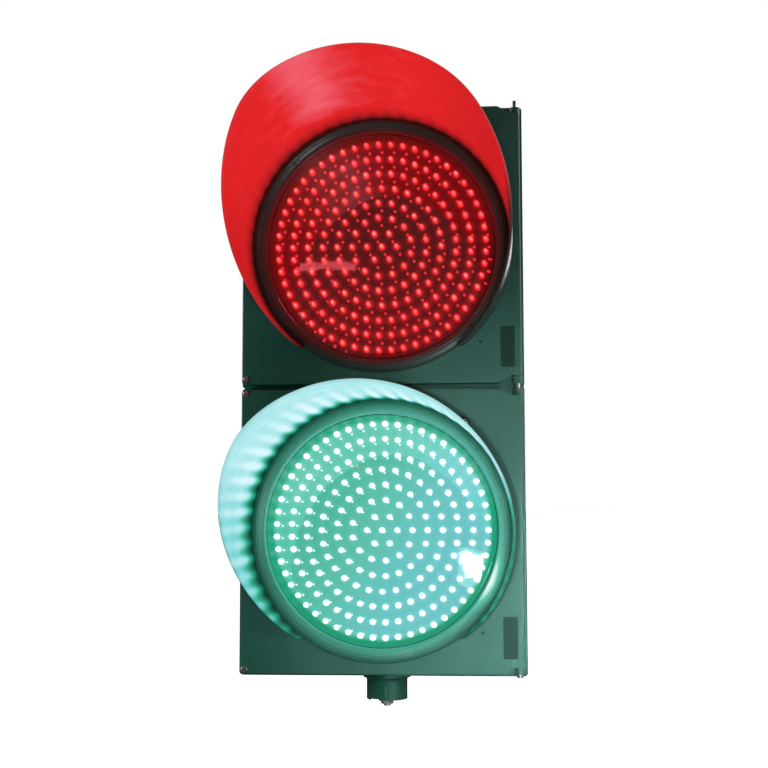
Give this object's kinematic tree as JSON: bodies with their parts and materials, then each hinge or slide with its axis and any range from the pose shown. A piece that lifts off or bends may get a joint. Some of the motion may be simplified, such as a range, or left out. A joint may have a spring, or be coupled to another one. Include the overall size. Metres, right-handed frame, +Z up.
{
  "type": "traffic signal head",
  "caption": "LED traffic signal head, red over green, with hinged doors, long cap visors and a bottom mounting stub.",
  "frame": {"origin": "centre of the bottom stub's lower rim, on the vertical axis the head turns about", "axes": "+Z up along the stub, -Y to the front where the lamps shine, +X to the right as seen from the front"},
  "size_m": [0.35, 0.428, 0.753],
  "materials": {
    "housing_plastic": "moulded, dark green-black, fine grain",
    "door_plastic": "moulded, dark green-black, fine grain",
    "visor_plastic": "moulded, dark, satin",
    "ring_rubber": "smooth black rubber",
    "seal_rubber": "foamed black rubber",
    "clear_lens": "clear polycarbonate, glossy",
    "lamp_shell_plastic": "moulded, dark grey",
    "red_board_lacquer": "lacquered board lit red",
    "green_board_lacquer": "lacquered board lit green",
    "red_led_resin": "clear resin, lit red",
    "green_led_resin": "clear resin, lit green-white",
    "supply_plastic": "potted box, black",
    "post_nylon": "natural nylon",
    "zinc_steel": "zinc-plated",
    "stainless": "stainless, bright",
    "brass": "turned brass",
    "stub_plastic": "moulded, dark green",
    "terminal_plastic": "grey terminal body"
  },
  "bodies": {
    "mount": {"stub": "stub_plastic", "stub_gasket": "seal_rubber", "clamp_bar": "zinc_steel", "clamp_bolt": "zinc_steel", "clamp_washer": "zinc_steel", "clamp_nut": "zinc_steel"},
    "head": {"red_housing": "housing_plastic", "green_housing": "housing_plastic", "red_hinge_pins": "stainless", "green_hinge_pins": "stainless", "red_latch_inserts": "brass", "green_latch_inserts": "brass", "coupling_gasket": "seal_rubber", "coupling_tube": "housing_plastic", "coupling_nut": "housing_plastic", "plug_gasket": "seal_rubber", "top_plug": "housing_plastic", "plug_nut": "housing_plastic", "terminal_rail": "zinc_steel", "terminal_block": "terminal_plastic", "terminal_screws": "zinc_steel"},
    "red_front": {"red_door": "door_plastic", "red_door_seal": "seal_rubber", "red_lens": "clear_lens", "red_lens_ring": "ring_rubber", "red_lamp_back": "lamp_shell_plastic", "red_led_board": "red_board_lacquer", "red_leds": "red_led_resin", "red_board_posts": "post_nylon", "red_power_supply": "supply_plastic", "red_lamp_clips": "zinc_steel", "red_clip_screws": "zinc_steel", "red_visor": "visor_plastic", "red_visor_screws": "stainless"},
    "red_upper_latch_screw": {"red_upper_latch": "stainless"},
    "red_lower_latch_screw": {"red_lower_latch": "stainless"},
    "green_front": {"green_door": "door_plastic", "green_door_seal": "seal_rubber", "green_lens": "clear_lens", "green_lens_ring": "ring_rubber", "green_lamp_back": "lamp_shell_plastic", "green_led_board": "green_board_lacquer", "green_leds": "green_led_resin", "green_board_posts": "post_nylon", "green_power_supply": "supply_plastic", "green_lamp_clips": "zinc_steel", "green_clip_screws": "zinc_steel", "green_visor": "visor_plastic", "green_visor_screws": "stainless"},
    "green_upper_latch_screw": {"green_upper_latch": "stainless"},
    "green_lower_latch_screw": {"green_lower_latch": "stainless"}
  },
  "joints": [
    {"name": "aim_turn", "type": "hinge", "parent": "mount", "child": "head", "pos_m": [0, 0, 0], "axis": [0, 0, 1], "range_deg": [-180, 180]},
    {"name": "red_door_swing", "type": "hinge", "parent": "head", "child": "red_front", "pos_m": [0.166, -0.068, 0.56], "axis": [0, 0, 1], "range_deg": [0, 110]},
    {"name": "red_upper_latch_turn", "type": "hinge", "parent": "red_front", "child": "red_upper_latch_screw", "pos_m": [-0.166, -0.08, 0.726], "axis": [0, -1, 0], "range_deg": [0, 90]},
    {"name": "red_lower_latch_turn", "type": "hinge", "parent": "red_front", "child": "red_lower_latch_screw", "pos_m": [-0.166, -0.08, 0.394], "axis": [0, -1, 0], "range_deg": [0, 90]},
    {"name": "green_door_swing", "type": "hinge", "parent": "head", "child": "green_front", "pos_m": [0.166, -0.068, 0.21], "axis": [0, 0, 1], "range_deg": [0, 110]},
    {"name": "green_upper_latch_turn", "type": "hinge", "parent": "green_front", "child": "green_upper_latch_screw", "pos_m": [-0.166, -0.08, 0.376], "axis": [0, -1, 0], "range_deg": [0, 90]},
    {"name": "green_lower_latch_turn", "type": "hinge", "parent": "green_front", "child": "green_lower_latch_screw", "pos_m": [-0.166, -0.08, 0.044], "axis": [0, -1, 0], "range_deg": [0, 90]}
  ]
}
